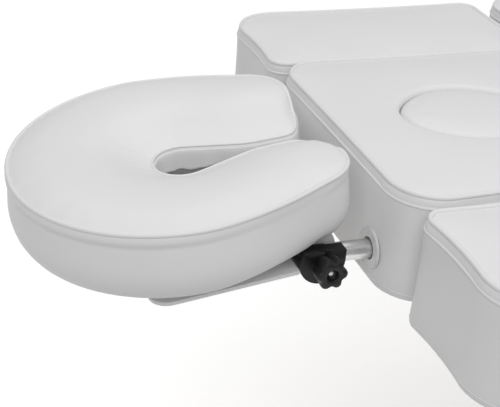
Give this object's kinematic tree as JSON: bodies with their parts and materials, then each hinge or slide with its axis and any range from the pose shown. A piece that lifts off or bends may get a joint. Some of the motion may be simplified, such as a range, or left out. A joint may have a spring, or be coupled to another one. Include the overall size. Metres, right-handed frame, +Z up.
{
  "type": "electric treatment table",
  "caption": "Electric lift treatment table with padded sections, reclining back, dropping leg rest, pull-out arm rests, a breathing hole with plug and a tilting horseshoe face rest.",
  "frame": {"origin": "on the floor, in the middle of the length and width over all", "axes": "+X towards the foot end, +Y to the far side, +Z up"},
  "size_m": [2.2395, 0.717, 0.6163],
  "materials": {
    "white_leatherette": "smooth synthetic leather with fine grain",
    "plywood": "bare birch plywood",
    "white_frame": "white powder coat",
    "column_aluminium": "satin anodised",
    "grey_bracket": "grey paint",
    "bright_steel": "bright plated",
    "plain_steel": "zinc plated",
    "black_plastic": "satin black moulding",
    "grey_plastic": "fine moulded grain",
    "pale_plastic": "smooth moulding"
  },
  "bodies": {
    "base": {"base_cross_feet": "white_frame", "base_rails": "white_frame", "base_end_caps": "black_plastic", "levelling_feet": "black_plastic", "column_base_plate": "white_frame", "column_base_bolts": "plain_steel", "column_outer": "column_aluminium", "column_glides_lower": "grey_plastic", "spindle_lower": "plain_steel"},
    "column_middle": {"column_middle": "column_aluminium", "column_glides_upper": "grey_plastic", "spindle_middle": "plain_steel"},
    "lift_frame": {"column_inner": "column_aluminium", "lift_motor": "plain_steel", "column_top_plate": "white_frame", "column_top_bolts": "plain_steel", "main_frame_rails": "white_frame", "main_frame_cross_tubes": "white_frame", "main_frame_brackets": "white_frame", "main_frame_end_caps": "black_plastic", "pivot_pins": "plain_steel", "back_hinge_fixed": "plain_steel", "seat_board": "plywood", "seat_cushion": "white_leatherette", "control_box": "grey_plastic"},
    "back": {"back_frame_rails": "white_frame", "back_frame_cross_tubes": "white_frame", "back_lug": "white_frame", "back_hinge_moving": "plain_steel", "back_board": "plywood", "back_cushion": "white_leatherette", "head_board": "plywood", "head_cushion": "white_leatherette", "face_rod_sockets": "plywood", "rod_eyelets": "pale_plastic", "arm_rod_sockets": "black_plastic"},
    "leg": {"leg_frame_rails": "white_frame", "leg_frame_cross_tubes": "white_frame", "leg_brackets": "white_frame", "leg_board": "plywood", "leg_cushion": "white_leatherette"},
    "back_actuator": {"back_actuator_body": "grey_plastic"},
    "back_actuator_rod": {"back_actuator_rod": "plain_steel"},
    "leg_actuator": {"leg_actuator_body": "grey_plastic"},
    "leg_actuator_rod": {"leg_actuator_rod": "plain_steel"},
    "face_rods": {"face_rods": "bright_steel", "hinge_clamps": "black_plastic"},
    "face_rest": {"face_brackets": "grey_bracket", "face_rest_fasteners": "plain_steel", "face_board": "plywood", "face_cushion": "white_leatherette"},
    "knob_near": {"knob_near": "black_plastic"},
    "knob_far": {"knob_far": "black_plastic"},
    "face_plug": {"face_plug": "white_leatherette"},
    "arm_near": {"arm_near_cushion": "white_leatherette", "arm_near_board": "plywood", "arm_near_rods": "bright_steel"},
    "arm_far": {"arm_far_cushion": "white_leatherette", "arm_far_board": "plywood", "arm_far_rods": "bright_steel"}
  },
  "joints": [
    {"name": "lift_lower", "type": "slide", "parent": "base", "child": "column_middle", "axis": [0, 0, 1], "range_m": [0, 0.15]},
    {"name": "lift_upper", "type": "slide", "parent": "column_middle", "child": "lift_frame", "axis": [0, 0, 1], "range_m": [0, 0.15]},
    {"name": "back_recline", "type": "hinge", "parent": "lift_frame", "child": "back", "pos_m": [0.0265, 0, 0.591], "axis": [0, 1, 0], "range_deg": [0, 60]},
    {"name": "leg_drop", "type": "hinge", "parent": "lift_frame", "child": "leg", "pos_m": [0.4905, 0, 0.42], "axis": [0, 1, 0], "range_deg": [0, 35]},
    {"name": "back_actuator_swing", "type": "hinge", "parent": "lift_frame", "child": "back_actuator", "pos_m": [0.1245, 0, 0.27], "axis": [0, 1, 0], "range_deg": [-0.5, 28.45]},
    {"name": "back_actuator_extend", "type": "slide", "parent": "back_actuator", "child": "back_actuator_rod", "axis": [-0.9487, 0, 0.3162], "range_m": [-0.001, 0.2283]},
    {"name": "leg_actuator_swing", "type": "hinge", "parent": "lift_frame", "child": "leg_actuator", "pos_m": [0.3845, 0, 0.32], "axis": [0, 1, 0], "range_deg": [-0.5, 23.99]},
    {"name": "leg_actuator_extend", "type": "slide", "parent": "leg_actuator", "child": "leg_actuator_rod", "axis": [0.9742, 0, 0.2259], "range_m": [-0.05997, 0.001]},
    {"name": "face_rest_pull", "type": "slide", "parent": "back", "child": "face_rods", "axis": [-1, 0, 0], "range_m": [0, 0.1]},
    {"name": "face_rest_tilt", "type": "hinge", "parent": "face_rods", "child": "face_rest", "pos_m": [-0.8385, 0, 0.519], "axis": [0, 1, 0], "range_deg": [-35, 10]},
    {"name": "knob_near_turn", "type": "hinge", "parent": "face_rods", "child": "knob_near", "pos_m": [-0.8385, -0.15, 0.519], "axis": [0, -1, 0], "continuous": true},
    {"name": "knob_far_turn", "type": "hinge", "parent": "face_rods", "child": "knob_far", "pos_m": [-0.8385, 0.15, 0.519], "axis": [0, 1, 0], "continuous": true},
    {"name": "plug_lift", "type": "slide", "parent": "back", "child": "face_plug", "axis": [0, 0, 1], "range_m": [0, 0.125]},
    {"name": "arm_near_pull", "type": "slide", "parent": "back", "child": "arm_near", "axis": [-1, 0, 0], "range_m": [0, 0.1]},
    {"name": "arm_far_pull", "type": "slide", "parent": "back", "child": "arm_far", "axis": [-1, 0, 0], "range_m": [0, 0.1]}
  ],
  "couplings": [
    {"joint": "lift_lower", "follows": "lift_upper", "ratio": 1},
    {"joint": "back_actuator_swing", "follows": "back_recline", "ratio": 0.46586},
    {"joint": "back_actuator_extend", "follows": "back_recline", "m_per_rad": 0.21706},
    {"joint": "leg_actuator_swing", "follows": "leg_drop", "ratio": 0.67117},
    {"joint": "leg_actuator_extend", "follows": "leg_drop", "m_per_rad": -0.096528}
  ]
}
